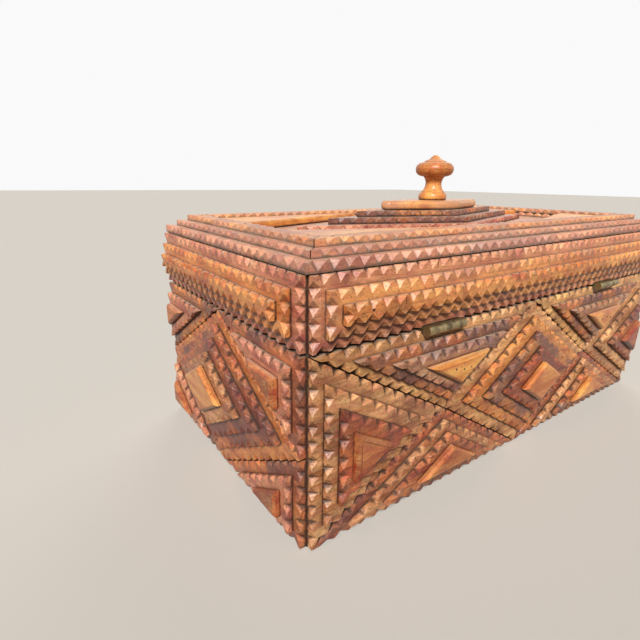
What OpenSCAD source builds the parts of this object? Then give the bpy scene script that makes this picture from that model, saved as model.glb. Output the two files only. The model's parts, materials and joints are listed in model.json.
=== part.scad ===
// Tramp art box: a nailed carcass and a hinged lid, both clad in stacked layers
// of thin wood whose edges are cut into rows of V-notches.
// Millimetres. The box stands on z = 0, +X along its length, +Y to the hinge side.

/* [Carcass] */
// Length over the end walls
carcass_l = 284; // [240:1:330]
// Depth over the front and back walls
carcass_d = 145; // [125:1:170]
// Height of the body, from the table to the rim
body_h = 84.3; // [72:0.1:110]
// Thickness of the walls and of the lid's rails
wall_t = 8; // [6:0.5:10]
// Thickness of the bottom board
bottom_t = 6; // [4:0.5:9]

/* [Lid] */
// Gap between the body's rim and the lid's rails
seam_gap = 0.4; // [0.3:0.05:0.8]
// Height of the lid's rails
rail_h = 28.7; // [26:0.1:38]
// Thickness of the lid's board
board_t = 4; // [3:0.25:5]
// Overhang of the lid's board past the rails
board_over = 1.3; // [0.5:0.1:2.5]

/* [Notched layers] */
// Thickness of one carved layer
layer_t = 3; // [2.5:0.25:4]
// Spacing of the V-notches on the body
body_pitch = 7.3; // [5:0.1:9]
// Spacing of the V-notches on the lid
lid_pitch = 6.7; // [5:0.1:9]
// Depth of a notch on a layer's front face
notch_depth = 3.3; // [2:0.1:3.4]
// Uncut height at the foot of a layer's edge
notch_lip = 0.5; // [0.3:0.1:1]
// Flat left between two notches at the tip of a tooth
tip_land = 0.5; // [0.3:0.1:1]
// Thickness of the smooth block that crowns a stack
block_t = 3.2; // [2:0.2:5]
// Bevel round a crowning block
block_bevel = 1.2; // [0.6:0.1:1.6]

/* [Face pattern] */
// Where the diagonals cross on a long face, as a share of its length
cross_share = 0.264; // [0.24:0.001:0.3]
// Gap between neighbouring stacks on a face
stack_gap = 0.4; // [0.2:0.1:0.8]
// Height of the cladding's lowest edge above the table
foot_gap = 0.5; // [0.3:0.1:1]
// Radius of the circle that fits in the block of an end triangle
end_block_r = 6.4; // [4.5:0.1:8]
// Set-back of the layers along an end triangle's base, as a share of that along its slopes
end_base_share = 0.79; // [0.6:0.01:1]
// Radius of the circle that fits in the block of a top or base triangle
long_block_r = 5.6; // [4:0.1:8]
// Radius of the circle that fits in the block of a long face's rhombus
rhombus_block_r = 9.5; // [7:0.1:12]
// Radius of the circle that fits in the block of an end diamond
diamond_block_r = 10.6; // [8:0.1:13]
// Set-back of the layers along a diamond's upper edges, as a share of that along its lower ones
diamond_high_share = 0.8; // [0.6:0.01:1]
// Radius of the circle that fits in the block of a corner triangle
corner_block_r = 4.8; // [3.5:0.1:6]
// Height of the outermost bar on the lid's sides
skirt_bar_h = 7.2; // [6.8:0.1:10]

/* [Lid top] */
// Set-back of each frame on the lid's top
frame_step = 4.8; // [3.5:0.1:5.5]
// Thickness of one frame
frame_t = 3; // [2.5:0.25:4]
// Width of the lower frame's strips
lower_frame_w = 14; // [12:0.5:18]
// Width of the upper frame's strips
upper_frame_w = 9; // [8:0.5:12]
// Leg of a recess block along the lid's length
recess_leg_x = 108; // [80:1:115]
// Height of a recess block
recess_block_t = 4.4; // [3:0.2:6]
// Half the length of the lowest rhombus on the lid
lid_rhombus_x = 100; // [90:1:110]
// Half the width of the lowest rhombus on the lid
lid_rhombus_y = 34.5; // [32:0.5:38]
// Thickness of one rhombus layer on the lid
lid_rhombus_t = 3.25; // [2.5:0.25:4]
// Set-back of each rhombus layer on the lid
lid_rhombus_step = 6.4; // [5.5:0.1:7]

/* [Knob] */
// Half the length of the plaque under the knob, before its ends are rounded
plaque_x = 49; // [44:1:54]
// Half the width of the plaque under the knob
plaque_y = 18; // [16:0.5:20]
// Length trimmed off each pointed end of the plaque by a round cut
plaque_trim = 8; // [4:0.5:12]
// Thickness of the plaque
plaque_t = 5.2; // [4:0.1:6]
// Height of the knob's foot
foot_h = 4; // [3.5:0.1:6]
// Radius of the knob's foot
foot_r = 8.2; // [7:0.1:10]
// Height of the knob's hollow neck
neck_h = 9.6; // [7:0.1:12]
// Radius of the neck at its thinnest
neck_r = 4.5; // [4:0.1:6]
// Radius of the neck where it meets the foot and the head
shoulder_r = 6.6; // [6:0.1:7]
// Height of the knob's head
head_h = 7.8; // [6:0.1:10]
// Radius of the knob's head
head_r = 11; // [9.5:0.1:13]
// Radius of the head's top and underside
head_flat_r = 7.4; // [7:0.1:9]
// Height of the spire on the knob's head
spire_h = 4.2; // [2:0.1:5]
// Radius of the spire at its foot
spire_r = 6.2; // [4:0.1:6.8]
// Radius of the tenon under the knob
tenon_r = 4.5; // [3.5:0.1:5.5]
// Radius of the screw that holds the knob
knob_screw_r = 2; // [1.5:0.1:2.5]
// How far the screw runs into the knob above the plaque
screw_grip = 8; // [5:0.5:12]
// Radius of the screw's head under the lid
screw_head_r = 4; // [3:0.1:5]
// Height of the screw's head
screw_head_h = 2; // [1.5:0.1:3]

/* [Hinges] */
// Distance from the box's end to the middle of a hinge
hinge_in = 67; // [55:1:85]
// Length of a hinge
hinge_len = 24; // [20:1:30]
// Radius of the hinge barrel
knuckle_r = 2.2; // [1.9:0.1:2.5]
// Radius of the hinge pin
pin_r = 0.9; // [0.7:0.05:1.1]
// Thickness of a hinge leaf
leaf_t = 1; // [0.8:0.1:1.2]
// Wood left between a hinge leaf and the wall's inner face
leaf_edge = 1.6; // [1:0.1:2]
// Radius of a hinge screw's shank
hinge_screw_r = 1; // [0.8:0.1:1.2]
// Length of a hinge screw
hinge_screw_l = 9; // [6:0.5:12]
// Radius of a hinge screw's countersunk head
hinge_head_r = 2; // [1.5:0.1:2.4]
// Distance between the two screws of a leaf
hinge_screw_span = 13; // [10:0.5:16]

/* [Clearances] */
// Radial clearance of the hinge pin in the knuckles
pin_clear = 0.05; // [0.02:0.01:0.1]
// Clearance round a hinge leaf, between knuckles and round screws
part_clear = 0.2; // [0.1:0.05:0.3]
// Clearance between the hinge barrel and the cladding's first face
barrel_clear = 0.5; // [0.4:0.05:1]
// Clearance round a knuckle where the other leaf is cut away
swing_clear = 0.35; // [0.3:0.05:0.5]
// Clearance between a hinge leaf and the cladding's edge above or below it
leaf_clear = 0.3; // [0.2:0.05:0.5]
// Set-back of the cladding from the body's rim and from the lid's rails
rim_gap = 0.3; // [0.2:0.05:0.6]

/* [Hidden] */
$fn = 48;
half_l = carcass_l / 2;
half_d = carcass_d / 2;
lid_z = body_h + seam_gap;
rail_top = lid_z + rail_h;
board_z = rail_top + board_t;
knob_z = board_z + 3 * lid_rhombus_t + plaque_t;
pin_y = half_d + layer_t + barrel_clear + knuckle_r;
pin_z = body_h + seam_gap / 2;
leaf_in = wall_t - leaf_edge;

// Wood and metal colours
tan_wood = "#b98a5e";
orange_wood = "#c07f48";
rose_wood = "#a3685a";
red_wood = "#7d4433";
plum_wood = "#5f4548";
grey_wood = "#8c7260";
honey_wood = "#d38d48";
plain_wood = "#a87a50";
aged_brass = "#77683f";
dull_steel = "#6b6a66";

// Uncut land at the end of a row of notches, more where the corner is sharp
corner_land = 0.3;

// Overrun of a cut past the face that it opens
over = 1;

// Outlines are listed anticlockwise, so that the inside is to the left of each edge
function unit(v) = v / norm(v);
function edge_normal(p, i) = let (e = unit(p[(i + 1) % len(p)] - p[i])) [-e.y, e.x];
function corner_shift(m, n, a, b) =
    let (det = m.x * n.y - m.y * n.x)
    [(a * n.y - b * m.y) / det, (b * m.x - a * n.x) / det];
function inset(p, d) = [
    for (i = [0 : len(p) - 1])
        let (j = (i + len(p) - 1) % len(p))
        p[i] + corner_shift(edge_normal(p, j), edge_normal(p, i), d[j], d[i])
];
function same(p, d) = [for (i = [0 : len(p) - 1]) d];
function corner_angle(p, i) =
    let (n = len(p), a = unit(p[(i + 1) % n] - p[i]), b = unit(p[(i + n - 1) % n] - p[i]))
    acos(a * b);
function edge_length(p, i) = norm(p[(i + 1) % len(p)] - p[i]);
function cross_sum(p, i = 0) =
    i == len(p) ? 0 : let (a = p[i], b = p[(i + 1) % len(p)]) a.x * b.y - a.y * b.x + cross_sum(p, i + 1);
function edge_sum(p, w, i = 0) = i == len(p) ? 0 : w[i] * edge_length(p, i) + edge_sum(p, w, i + 1);

// Set-backs, weighted edge by edge, that shrink an outline to a block of inner radius r in so many levels
function set_backs(p, w, levels, r) =
    w * (cross_sum(p) - (r + stack_gap / 2) * edge_sum(p, same(p, 1))) / (levels * edge_sum(p, w));
function corner_margin(p, i) = corner_land + notch_depth / 4 / tan(corner_angle(p, i) / 2);

// Face patterns, in each face's own frame: x to the right seen from outside, y up
clad_low = foot_gap;
clad_high = body_h - rim_gap;
clad_mid = (clad_low + clad_high) / 2;
cross_x = half_l - cross_share * carcass_l;
end_triangle = [[-half_l, clad_low], [-cross_x, clad_mid], [-half_l, clad_high]];
end_steps = set_backs(end_triangle, [1, 1, end_base_share], 3, end_block_r);
top_triangle = [[-half_l, clad_high], [-cross_x, clad_mid], [0, clad_high]];
top_steps = set_backs(top_triangle, same(top_triangle, 1), 3, long_block_r);
base_triangle = [[-half_l, clad_low], [0, clad_low], [-cross_x, clad_mid]];
base_steps = set_backs(base_triangle, same(base_triangle, 1), 3, long_block_r);
rhombus = [[-cross_x, clad_mid], [0, clad_low], [cross_x, clad_mid], [0, clad_high]];
rhombus_steps = set_backs(rhombus, same(rhombus, 1), 4, rhombus_block_r);
diamond = [[-half_d, clad_mid], [0, clad_low], [half_d, clad_mid], [0, clad_high]];
diamond_weights = [1, 1, diamond_high_share, diamond_high_share];
diamond_steps = set_backs(diamond, diamond_weights, 4, diamond_block_r);
corner_triangle = [[-half_d, clad_low], [0, clad_low], [-half_d, clad_mid]];
corner_steps = set_backs(corner_triangle, same(corner_triangle, 1), 2, corner_block_r);
lid_rhombus = [[-lid_rhombus_x, 0], [0, -lid_rhombus_y], [lid_rhombus_x, 0], [0, lid_rhombus_y]];
plaque = [[-plaque_x, 0], [0, -plaque_y], [plaque_x, 0], [0, plaque_y]];

// Cladding of the lid's sides: three layers that end in a bar
skirt_low = lid_z + rim_gap;
skirt_high = rail_top - stack_gap / 2;
skirt_step = (skirt_high - skirt_low - stack_gap - skirt_bar_h) / 4;

function skirt(half) = [[-half, skirt_low], [half, skirt_low], [half, skirt_high], [-half, skirt_high]];

// A row of V-notches for one edge: the edge runs along +X from the origin, the wood is at +Y
module notch_comb(length, start, finish, thick, pitch) {
    drop = thick - notch_lip;
    slant = norm([notch_depth, drop]);
    usable = length - start - finish;
    count = max(1, round(usable / pitch));
    width = usable / count;
    rise = notch_depth * drop / slant;
    peak = rise * width / (width - tip_land);
    cap = peak + over;
    zigzag = [for (k = [0 : 2 * count]) [start + k * width / 2, k % 2 == 0 ? peak : 0]];
    ends = [[start + usable, cap], [start, cap]];
    translate([0, notch_depth, thick])
        rotate([atan2(notch_depth, -drop), 0, 0])
            translate([0, 0, -over])
                linear_extrude(slant + 2 * over)
                    polygon(concat(zigzag, ends));
}

module along_edge(p, i) {
    e = p[(i + 1) % len(p)] - p[i];
    translate(p[i])
        rotate([0, 0, atan2(e.y, e.x)])
            children();
}

// A plate whose edges are notched where cut is true
module notched_plate(p, thick, cut, pitch) {
    difference() {
        linear_extrude(thick)
            polygon(p);
        for (i = [0 : len(p) - 1])
            if (cut[i])
                along_edge(p, i)
                    notch_comb(
                        edge_length(p, i),
                        corner_margin(p, i),
                        corner_margin(p, (i + 1) % len(p)),
                        thick,
                        pitch
                    );
    }
}

// A smooth plate with a bevel round its front face
module bevelled_plate(p, thick, bevel) {
    reach = 4 * bevel;
    low = thick - bevel - over;
    high = thick + over;
    difference() {
        linear_extrude(thick)
            polygon(p);
        for (i = [0 : len(p) - 1])
            along_edge(p, i)
                translate([-reach, 0, 0])
                    rotate([90, 0, 90])
                        linear_extrude(edge_length(p, i) + 2 * reach)
                            polygon([[-over, low], [bevel + over, high], [-over, high]]);
    }
}

// Layer number level of a stack, counted from 0 at the wall
module stack_layer(outline, steps, level, pitch = body_pitch) {
    p = inset(inset(outline, same(outline, stack_gap / 2)), steps * level);
    translate([0, 0, level * layer_t])
        notched_plate(p, layer_t, same(p, true), pitch);
}

module stack_block(outline, steps, levels) {
    p = inset(inset(outline, same(outline, stack_gap / 2)), steps * levels);
    translate([0, 0, levels * layer_t])
        bevelled_plate(p, block_t, block_bevel);
}

// Places on the box's four faces
module on_front() {
    translate([0, -half_d, 0])
        rotate([90, 0, 0])
            children();
}

module on_back() {
    translate([0, half_d, 0])
        rotate([90, 0, 180])
            children();
}

module on_left_end() {
    translate([-half_l, 0, 0])
        rotate([90, 0, -90])
            children();
}

module on_right_end() {
    translate([half_l, 0, 0])
        rotate([90, 0, 90])
            children();
}

module on_long_faces() {
    on_front()
        children();
    on_back()
        children();
}

module on_ends() {
    on_left_end()
        children();
    on_right_end()
        children();
}

module left_and_right() {
    children();
    mirror([1, 0, 0])
        children();
}

module low_and_high() {
    children();
    translate([0, 2 * clad_mid, 0])
        mirror([0, 1, 0])
            children();
}

module front_and_back() {
    children();
    mirror([0, 1, 0])
        children();
}

// Carcass
module bottom_board() {
    color(plain_wood)
        translate([-half_l, -half_d, 0])
            cube([carcass_l, carcass_d, bottom_t]);
}

module long_wall(z, h) {
    translate([-half_l, half_d - wall_t, z])
        cube([carcass_l, wall_t, h]);
}

module end_wall(z, h) {
    translate([half_l - wall_t, wall_t - half_d, z])
        cube([wall_t, carcass_d - 2 * wall_t, h]);
}

module front_wall() {
    color(plain_wood)
        mirror([0, 1, 0])
            long_wall(bottom_t, body_h - bottom_t);
}

module back_wall() {
    color(plain_wood)
        difference() {
            long_wall(bottom_t, body_h - bottom_t);
            at_hinges()
                leaf_mortise(-1);
        }
}

module left_wall() {
    color(plain_wood)
        mirror([1, 0, 0])
            end_wall(bottom_t, body_h - bottom_t);
}

module right_wall() {
    color(plain_wood)
        end_wall(bottom_t, body_h - bottom_t);
}

// Long faces
module end_triangle_layer_1() {
    color(tan_wood)
        on_long_faces()
            left_and_right()
                stack_layer(end_triangle, end_steps, 0);
}

module end_triangle_layer_2() {
    color(tan_wood)
        on_long_faces()
            left_and_right()
                stack_layer(end_triangle, end_steps, 1);
}

module end_triangle_layer_3() {
    color(red_wood)
        on_long_faces()
            left_and_right()
                stack_layer(end_triangle, end_steps, 2);
}

module end_triangle_block() {
    color(honey_wood)
        on_long_faces()
            left_and_right()
                stack_block(end_triangle, end_steps, 3);
}

module top_triangle_layer_1() {
    color(tan_wood)
        difference() {
            on_long_faces()
                left_and_right()
                    stack_layer(top_triangle, top_steps, 0);
            at_hinges()
                leaf_opening(-1);
        }
}

module top_triangle_layer_2() {
    color(plum_wood)
        on_long_faces()
            left_and_right()
                stack_layer(top_triangle, top_steps, 1);
}

module top_triangle_layer_3() {
    color(grey_wood)
        on_long_faces()
            left_and_right()
                stack_layer(top_triangle, top_steps, 2);
}

module top_triangle_block() {
    color(honey_wood)
        on_long_faces()
            left_and_right()
                stack_block(top_triangle, top_steps, 3);
}

module base_triangle_layer_1() {
    color(plum_wood)
        on_long_faces()
            left_and_right()
                stack_layer(base_triangle, base_steps, 0);
}

module base_triangle_layer_2() {
    color(tan_wood)
        on_long_faces()
            left_and_right()
                stack_layer(base_triangle, base_steps, 1);
}

module base_triangle_layer_3() {
    color(plum_wood)
        on_long_faces()
            left_and_right()
                stack_layer(base_triangle, base_steps, 2);
}

module base_triangle_block() {
    color(honey_wood)
        on_long_faces()
            left_and_right()
                stack_block(base_triangle, base_steps, 3);
}

module rhombus_layer_1() {
    color(tan_wood)
        on_long_faces()
            stack_layer(rhombus, rhombus_steps, 0);
}

module rhombus_layer_2() {
    color(orange_wood)
        on_long_faces()
            stack_layer(rhombus, rhombus_steps, 1);
}

module rhombus_layer_3() {
    color(plum_wood)
        on_long_faces()
            stack_layer(rhombus, rhombus_steps, 2);
}

module rhombus_layer_4() {
    color(red_wood)
        on_long_faces()
            stack_layer(rhombus, rhombus_steps, 3);
}

module rhombus_block() {
    color(honey_wood)
        on_long_faces()
            stack_block(rhombus, rhombus_steps, 4);
}

// End faces
module diamond_layer_1() {
    color(orange_wood)
        on_ends()
            stack_layer(diamond, diamond_steps, 0);
}

module diamond_layer_2() {
    color(plum_wood)
        on_ends()
            stack_layer(diamond, diamond_steps, 1);
}

module diamond_layer_3() {
    color(red_wood)
        on_ends()
            stack_layer(diamond, diamond_steps, 2);
}

module diamond_layer_4() {
    color(tan_wood)
        on_ends()
            stack_layer(diamond, diamond_steps, 3);
}

module diamond_block() {
    color(honey_wood)
        on_ends()
            stack_block(diamond, diamond_steps, 4);
}

module corner_triangle_layer_1() {
    color(plum_wood)
        on_ends()
            left_and_right()
                low_and_high()
                    stack_layer(corner_triangle, corner_steps, 0);
}

module corner_triangle_layer_2() {
    color(rose_wood)
        on_ends()
            left_and_right()
                low_and_high()
                    stack_layer(corner_triangle, corner_steps, 1);
}

module corner_triangle_block() {
    color(orange_wood)
        on_ends()
            left_and_right()
                low_and_high()
                    stack_block(corner_triangle, corner_steps, 2);
}

// Lid
module screw_hole(z, h) {
    translate([0, 0, z - over])
        cylinder(r = knob_screw_r + part_clear, h = h + 2 * over);
}

module lid_board() {
    p = [
        [-half_l - board_over, -half_d - board_over], [half_l + board_over, -half_d - board_over],
        [half_l + board_over, half_d + board_over], [-half_l - board_over, half_d + board_over]
    ];
    color(rose_wood)
        difference() {
            translate([0, 0, rail_top])
                notched_plate(p, board_t, same(p, true), lid_pitch);
            screw_hole(rail_top, board_t);
        }
}

module lid_front_rail() {
    color(plain_wood)
        mirror([0, 1, 0])
            long_wall(lid_z, rail_h);
}

module lid_back_rail() {
    color(plain_wood)
        difference() {
            long_wall(lid_z, rail_h);
            at_hinges()
                leaf_mortise(1);
        }
}

module lid_left_rail() {
    color(plain_wood)
        mirror([1, 0, 0])
            end_wall(lid_z, rail_h);
}

module lid_right_rail() {
    color(plain_wood)
        end_wall(lid_z, rail_h);
}

module skirt_layer(half, level) {
    p = skirt(half);
    stack_layer(p, same(p, skirt_step), level, lid_pitch);
}

module long_skirt_layer_1() {
    color(rose_wood)
        difference() {
            on_long_faces()
                skirt_layer(half_l, 0);
            at_hinges()
                leaf_opening(1);
        }
}

module long_skirt_layer_2() {
    color(orange_wood)
        on_long_faces()
            skirt_layer(half_l, 1);
}

module long_skirt_layer_3() {
    color(orange_wood)
        on_long_faces()
            skirt_layer(half_l, 2);
}

module end_skirt_layer_1() {
    color(rose_wood)
        on_ends()
            skirt_layer(half_d, 0);
}

module end_skirt_layer_2() {
    color(orange_wood)
        on_ends()
            skirt_layer(half_d, 1);
}

module end_skirt_layer_3() {
    color(orange_wood)
        on_ends()
            skirt_layer(half_d, 2);
}

// A strip of a frame with mitred ends: half is its outer half length, out its distance from the middle
module frame_strip(half, out, width) {
    mitre = stack_gap / 4;
    p = inset(
        [[-half, -out], [half, -out], [half - width, width - out], [width - half, width - out]],
        [0, mitre, 0, mitre]
    );
    notched_plate(p, frame_t, [true, false, true, false], lid_pitch);
}

module frame(level, width) {
    set_back = board_over - level * frame_step;
    translate([0, 0, board_z + (level - 1) * frame_t]) {
        front_and_back()
            frame_strip(half_l + set_back, half_d + set_back, width);
        left_and_right()
            rotate([0, 0, -90])
                frame_strip(half_d + set_back, half_l + set_back, width);
    }
}

module lower_frame() {
    color(rose_wood)
        frame(1, lower_frame_w);
}

module upper_frame() {
    color(orange_wood)
        frame(2, upper_frame_w);
}

module recess_blocks() {
    reach = lower_frame_w + frame_step - board_over + stack_gap;
    x = reach - half_l;
    y = reach - half_d;
    leg_y = recess_leg_x * lid_rhombus_y / lid_rhombus_x;
    p = [[x, y], [x + recess_leg_x, y], [x, y + leg_y]];
    color(honey_wood)
        left_and_right()
            front_and_back()
                translate([0, 0, board_z])
                    bevelled_plate(p, recess_block_t, block_bevel);
}

module lid_rhombus_layer(level) {
    z = board_z + level * lid_rhombus_t;
    p = inset(lid_rhombus, same(lid_rhombus, level * lid_rhombus_step));
    difference() {
        translate([0, 0, z])
            notched_plate(p, lid_rhombus_t, same(p, true), lid_pitch);
        screw_hole(z, lid_rhombus_t);
    }
}

module lid_rhombus_layer_1() {
    color(rose_wood)
        lid_rhombus_layer(0);
}

module lid_rhombus_layer_2() {
    color(plum_wood)
        lid_rhombus_layer(1);
}

module lid_rhombus_layer_3() {
    color(plum_wood)
        lid_rhombus_layer(2);
}

module knob_plaque() {
    color(honey_wood)
        difference() {
            intersection() {
                translate([0, 0, knob_z - plaque_t])
                    bevelled_plate(plaque, plaque_t, block_bevel);
                translate([0, 0, knob_z - plaque_t])
                    cylinder(r = plaque_x - plaque_trim, h = plaque_t, $fn = 96);
            }
            translate([0, 0, knob_z - plaque_t - over])
                cylinder(r = tenon_r + part_clear, h = plaque_t + 2 * over);
        }
}

// Turned profile: rounded foot, hollow neck, flattened head and a spire
module knob() {
    foot_edge = 0.3 * foot_h;
    neck_z = foot_h + neck_h / 2;
    neck_cuts = 8;
    hollow = (shoulder_r - neck_r) / pow(neck_h / 2, 2);
    head_z = foot_h + neck_h;
    spire_z = head_z + head_h;
    spire_cuts = 4;
    spire_hollow = 1.3;
    foot = [
        for (a = [0 : 15 : 90])
            [shoulder_r + (foot_r - shoulder_r) * cos(a), foot_edge + (foot_h - foot_edge) * sin(a)]
    ];
    neck = [
        for (k = [1 : neck_cuts])
            let (z = foot_h + k * neck_h / neck_cuts)
            [neck_r + hollow * pow(z - neck_z, 2), z]
    ];
    head = [
        for (a = [-90 : 15 : 90])
            [head_flat_r + (head_r - head_flat_r) * cos(a), head_z + head_h * (1 + sin(a)) / 2]
    ];
    spire = [
        for (k = [0 : spire_cuts])
            [spire_r * pow(1 - k / spire_cuts, spire_hollow), spire_z + spire_h * k / spire_cuts]
    ];
    color(honey_wood)
        translate([0, 0, knob_z])
            difference() {
                union() {
                    rotate_extrude()
                        polygon(concat([[0, 0], [foot_r, 0]], foot, neck, head, spire));
                    translate([0, 0, -plaque_t])
                        cylinder(r = tenon_r, h = plaque_t);
                }
                translate([0, 0, -plaque_t - over])
                    cylinder(r = knob_screw_r + pin_clear, h = plaque_t + screw_grip + over);
            }
}

module knob_screw() {
    low = rail_top - screw_head_h / 2;
    color(dull_steel) {
        translate([0, 0, rail_top - screw_head_h])
            cylinder(r1 = (screw_head_r + knob_screw_r) / 2, r2 = screw_head_r, h = screw_head_h);
        translate([0, 0, low])
            cylinder(r = knob_screw_r, h = knob_z + screw_grip - part_clear - low);
    }
}

// Hinges: barrel outside the cladding, leaves let into the back wall and the back rail
module at_hinges() {
    left_and_right()
        translate([half_l - hinge_in, 0, 0])
            children();
}

// Underside of a leaf: side is 1 for the lid's leaf and -1 for the body's
function leaf_low(side) = side > 0 ? lid_z : body_h - leaf_t;

module leaf_mortise(side) {
    inner = half_d - leaf_in - part_clear;
    z = side > 0 ? lid_z - over : leaf_low(-1);
    top = side > 0 ? leaf_low(1) + leaf_t : body_h + over;
    translate([-hinge_len / 2 - part_clear, inner, z])
        cube([hinge_len + 2 * part_clear, leaf_in + part_clear + over, top - z]);
    at_leaf_screws(side)
        cylinder(r = hinge_screw_r + pin_clear, h = hinge_screw_l + part_clear);
}

// Opening in the cladding's first layer where a leaf passes
module leaf_opening(side) {
    z = side > 0 ? lid_z - over : leaf_low(-1) - leaf_clear;
    top = side > 0 ? leaf_low(1) + leaf_t + leaf_clear : body_h + over;
    translate([-hinge_len / 2 - part_clear, half_d - over, z])
        cube([hinge_len + 2 * part_clear, layer_t + 2 * over, top - z]);
}

// Screw axes run from the leaf's face into the wood
module at_leaf_screws(side) {
    for (x = [-hinge_screw_span / 2, hinge_screw_span / 2])
        translate([x, half_d - leaf_in / 2, side > 0 ? leaf_low(1) : leaf_low(-1) + leaf_t])
            mirror([0, 0, side > 0 ? 0 : 1])
                children();
}

module hinge_leaf(side) {
    third = hinge_len / 3;
    own = side > 0 ? [0] : [-third, third];
    other = side > 0 ? [-third, third] : [0];
    knuckle_l = third - part_clear;
    inner = half_d - leaf_in;
    reach = knuckle_r + swing_clear;
    difference() {
        union() {
            translate([-hinge_len / 2, inner, leaf_low(side)])
                cube([hinge_len, pin_y - inner, leaf_t]);
            for (x = own)
                translate([x - knuckle_l / 2, pin_y, pin_z])
                    rotate([0, 90, 0])
                        cylinder(r = knuckle_r, h = knuckle_l);
        }
        for (x = other)
            translate([x - third / 2 - part_clear / 2, pin_y - reach, pin_z - reach])
                cube([third + part_clear, 2 * reach, 2 * reach]);
        translate([-hinge_len / 2 - over, pin_y, pin_z])
            rotate([0, 90, 0])
                cylinder(r = pin_r + pin_clear, h = hinge_len + 2 * over);
        at_leaf_screws(side)
            translate([0, 0, -over])
                cylinder(r = hinge_screw_r + pin_clear, h = leaf_t + 2 * over);
        at_leaf_screws(side)
            cylinder(r1 = hinge_head_r + pin_clear, r2 = hinge_screw_r + pin_clear, h = hinge_screw_r);
    }
}

module hinge_lower_leaves() {
    color(aged_brass)
        at_hinges()
            hinge_leaf(-1);
}

module hinge_upper_leaves() {
    color(aged_brass)
        at_hinges()
            hinge_leaf(1);
}

module hinge_pins() {
    color(aged_brass)
        at_hinges()
            translate([-hinge_len / 2, pin_y, pin_z])
                rotate([0, 90, 0])
                    cylinder(r = pin_r, h = hinge_len);
}

module leaf_screw() {
    cylinder(r1 = hinge_head_r, r2 = hinge_screw_r, h = hinge_screw_r);
    cylinder(r = hinge_screw_r, h = hinge_screw_l);
}

module lower_leaf_screws() {
    color(aged_brass)
        at_hinges()
            at_leaf_screws(-1)
                leaf_screw();
}

module upper_leaf_screws() {
    color(aged_brass)
        at_hinges()
            at_leaf_screws(1)
                leaf_screw();
}

bottom_board();
front_wall();
back_wall();
left_wall();
right_wall();
end_triangle_layer_1();
end_triangle_layer_2();
end_triangle_layer_3();
end_triangle_block();
top_triangle_layer_1();
top_triangle_layer_2();
top_triangle_layer_3();
top_triangle_block();
base_triangle_layer_1();
base_triangle_layer_2();
base_triangle_layer_3();
base_triangle_block();
rhombus_layer_1();
rhombus_layer_2();
rhombus_layer_3();
rhombus_layer_4();
rhombus_block();
diamond_layer_1();
diamond_layer_2();
diamond_layer_3();
diamond_layer_4();
diamond_block();
corner_triangle_layer_1();
corner_triangle_layer_2();
corner_triangle_block();
lid_board();
lid_front_rail();
lid_back_rail();
lid_left_rail();
lid_right_rail();
long_skirt_layer_1();
long_skirt_layer_2();
long_skirt_layer_3();
end_skirt_layer_1();
end_skirt_layer_2();
end_skirt_layer_3();
lower_frame();
upper_frame();
recess_blocks();
lid_rhombus_layer_1();
lid_rhombus_layer_2();
lid_rhombus_layer_3();
knob_plaque();
knob();
knob_screw();
hinge_lower_leaves();
hinge_upper_leaves();
hinge_pins();
lower_leaf_screws();
upper_leaf_screws();
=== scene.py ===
import json
import math
import random

import bmesh
import bpy
from mathutils import Matrix, Vector
from mathutils.geometry import convex_hull_2d


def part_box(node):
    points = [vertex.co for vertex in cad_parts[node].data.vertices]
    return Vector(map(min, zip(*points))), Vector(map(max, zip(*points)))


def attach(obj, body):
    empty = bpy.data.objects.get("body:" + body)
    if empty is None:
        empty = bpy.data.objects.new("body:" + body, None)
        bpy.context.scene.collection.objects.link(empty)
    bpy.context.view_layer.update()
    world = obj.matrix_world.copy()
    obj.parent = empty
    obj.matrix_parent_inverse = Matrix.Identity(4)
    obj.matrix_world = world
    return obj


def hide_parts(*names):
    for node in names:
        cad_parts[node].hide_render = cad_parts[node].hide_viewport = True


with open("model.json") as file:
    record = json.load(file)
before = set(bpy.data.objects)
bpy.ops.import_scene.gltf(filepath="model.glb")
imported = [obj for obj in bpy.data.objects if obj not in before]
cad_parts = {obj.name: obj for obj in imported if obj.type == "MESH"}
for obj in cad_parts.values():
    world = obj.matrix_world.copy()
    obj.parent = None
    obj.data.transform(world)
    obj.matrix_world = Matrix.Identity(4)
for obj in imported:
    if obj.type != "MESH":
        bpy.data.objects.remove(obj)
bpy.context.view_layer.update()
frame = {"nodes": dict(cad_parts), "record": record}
nodes = frame["nodes"]
slotOf = {part["node"]: part["material_slot"] for part in frame["record"]["subparts"]}
bodyOf = {node: body for body, names in frame["record"]["behaviour"]["bodies"].items() for node in names}
mm = 0.001
touch = 0.02 * mm  # points closer than this lie on the same line or plane
samePoint = touch / 10
print("frame loaded:", len(nodes), "nodes")


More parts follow.
